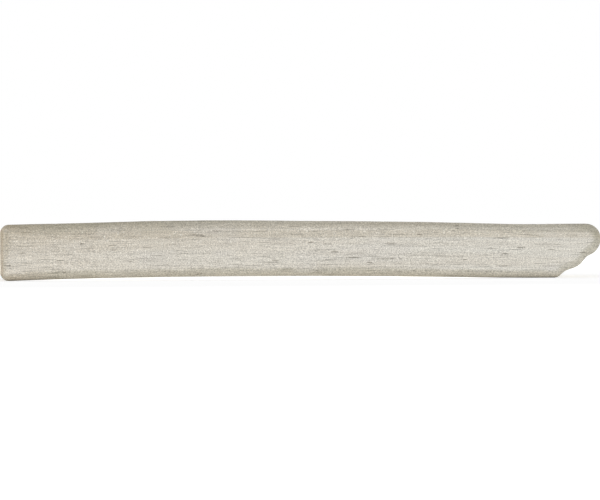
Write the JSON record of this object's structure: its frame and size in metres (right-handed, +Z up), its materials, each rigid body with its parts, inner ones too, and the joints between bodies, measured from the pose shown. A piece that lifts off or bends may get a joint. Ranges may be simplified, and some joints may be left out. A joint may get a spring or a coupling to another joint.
{
  "type": "stair nosing tile",
  "caption": "Solid stone tread tile for the front of a step, with a rounded moulded nose along one edge and tumbled ends and back.",
  "frame": {"origin": "on the ground the tile lies on, under the middle of its outline", "axes": "+X from the back edge to the moulded nose, +Y along the step, +Z up out of the tread surface"},
  "size_m": [0.33, 0.33, 0.0328],
  "materials": {
    "stone": "tumbled, matt"
  },
  "bodies": {
    "root": {"nosing_tile": "stone"}
  },
  "joints": []
}
